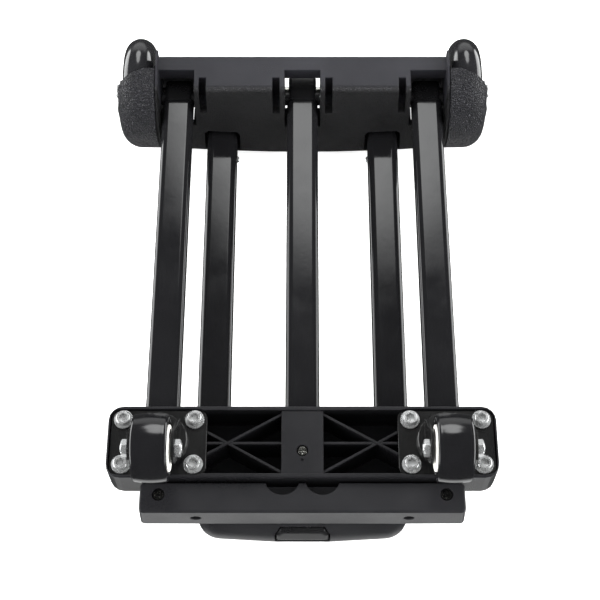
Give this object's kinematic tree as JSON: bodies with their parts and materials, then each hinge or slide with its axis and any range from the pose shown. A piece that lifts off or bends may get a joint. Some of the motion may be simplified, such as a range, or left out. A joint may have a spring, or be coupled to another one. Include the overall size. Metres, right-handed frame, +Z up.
{
  "type": "folding equipment cart",
  "caption": "Folding equipment cart, folded flat on its back, with a hinged tube platform, swivel casters, big rear wheels and a telescopic handle.",
  "frame": {"origin": "centre of the bounding box at its bottom, on the surface the folded cart lies on", "axes": "+X to the right across the cart, +Y towards the big wheels, +Z up, with the casters on top"},
  "size_m": [0.2734, 0.369, 0.119],
  "materials": {
    "black_tube": "smooth gloss black coating",
    "bar_plastic": "satin moulded charcoal black",
    "base_plastic": "satin moulded charcoal black",
    "cover_plastic": "grained moulded charcoal black",
    "head_plastic": "satin moulded black",
    "black_steel": "black oxide with a light oil sheen",
    "black_nylon": "semi-matte black",
    "sheet_steel": "semi-gloss black coating",
    "zinc": "bright zinc plate",
    "bearing_steel": "ground steel",
    "caster_tread": "glossy smooth black",
    "wheel_tread": "glossy smoky black",
    "cream_core": "cream moulded"
  },
  "bodies": {
    "handle_frame": {"crossbar": "bar_plastic", "wheel_axle": "black_steel", "tube_bracket": "bar_plastic", "handle_collar": "head_plastic", "collar_screw_left": "black_steel", "collar_screw_right": "black_steel", "crossbar_cover_left": "bar_plastic", "wheel_cover_left": "cover_plastic", "axle_bolt_left": "zinc", "axle_sleeve_left": "zinc", "handle_outer_tube_left": "black_tube", "crossbar_cover_right": "bar_plastic", "wheel_cover_right": "cover_plastic", "axle_bolt_right": "zinc", "axle_sleeve_right": "zinc", "handle_outer_tube_right": "black_tube", "hinge_pin_left": "zinc", "hinge_pin_centre": "zinc", "hinge_pin_right": "zinc"},
    "rear_wheel_left": {"wheel_tyre_left": "wheel_tread", "wheel_hub_left": "black_nylon", "bearing_left_outer": "bearing_steel", "bearing_left_inner": "bearing_steel"},
    "rear_wheel_right": {"wheel_tyre_right": "wheel_tread", "wheel_hub_right": "black_nylon", "bearing_right_outer": "bearing_steel", "bearing_right_inner": "bearing_steel"},
    "platform": {"caster_base": "base_plastic", "panel_screw": "black_steel", "platform_tube_left": "black_tube", "hinge_plug_left": "black_nylon", "platform_tube_centre": "black_tube", "hinge_plug_centre": "black_nylon", "platform_tube_right": "black_tube", "hinge_plug_right": "black_nylon", "caster_plate_left": "sheet_steel", "caster_plate_right": "sheet_steel", "caster_bolt_left_1": "zinc", "caster_bolt_left_2": "zinc", "caster_bolt_left_3": "zinc", "caster_bolt_left_4": "zinc", "caster_bolt_right_1": "zinc", "caster_bolt_right_2": "zinc", "caster_bolt_right_3": "zinc", "caster_bolt_right_4": "zinc"},
    "caster_swivel_left": {"caster_fork_left": "sheet_steel", "caster_axle_left": "zinc"},
    "caster_wheel_left": {"caster_tyre_left": "caster_tread", "caster_core_left": "cream_core"},
    "caster_swivel_right": {"caster_fork_right": "sheet_steel", "caster_axle_right": "zinc"},
    "caster_wheel_right": {"caster_tyre_right": "caster_tread", "caster_core_right": "cream_core"},
    "handle_middle_stage": {"handle_middle_tube_left": "black_tube", "handle_middle_tube_right": "black_tube"},
    "handle_top_stage": {"handle_inner_tube_left": "black_tube", "handle_inner_tube_right": "black_tube", "handle_grip": "head_plastic"},
    "release_button": {"push_button": "black_nylon", "release_yoke": "zinc"}
  },
  "joints": [
    {"name": "platform_fold", "type": "hinge", "parent": "handle_frame", "child": "platform", "pos_m": [0, 0.134, 0.046], "axis": [-1, 0, 0], "range_deg": [0, 90]},
    {"name": "rear_wheel_left_spin", "type": "hinge", "parent": "handle_frame", "child": "rear_wheel_left", "pos_m": [-0.1175, 0.1465, 0.038], "axis": [1, 0, 0], "continuous": true},
    {"name": "caster_left_swivel", "type": "hinge", "parent": "platform", "child": "caster_swivel_left", "pos_m": [-0.0894, -0.1371, 0.0642], "axis": [0, 0, 1], "continuous": true},
    {"name": "caster_left_roll", "type": "hinge", "parent": "caster_swivel_left", "child": "caster_wheel_left", "pos_m": [-0.0894, -0.1536, 0.0982], "axis": [1, 0, 0], "continuous": true},
    {"name": "rear_wheel_right_spin", "type": "hinge", "parent": "handle_frame", "child": "rear_wheel_right", "pos_m": [0.1175, 0.1465, 0.038], "axis": [1, 0, 0], "continuous": true},
    {"name": "caster_right_swivel", "type": "hinge", "parent": "platform", "child": "caster_swivel_right", "pos_m": [0.0894, -0.1371, 0.0642], "axis": [0, 0, 1], "continuous": true},
    {"name": "caster_right_roll", "type": "hinge", "parent": "caster_swivel_right", "child": "caster_wheel_right", "pos_m": [0.0894, -0.1536, 0.0982], "axis": [1, 0, 0], "continuous": true},
    {"name": "middle_stage_slide", "type": "slide", "parent": "handle_frame", "child": "handle_middle_stage", "axis": [0, -1, 0], "range_m": [0, 0.24]},
    {"name": "top_stage_slide", "type": "slide", "parent": "handle_middle_stage", "child": "handle_top_stage", "axis": [0, -1, 0], "range_m": [0, 0.235]},
    {"name": "button_press", "type": "slide", "parent": "handle_top_stage", "child": "release_button", "axis": [0, 1, 0], "range_m": [0, 0.0035], "stiffness_N_per_m": 900, "springref_m": -0.004}
  ]
}
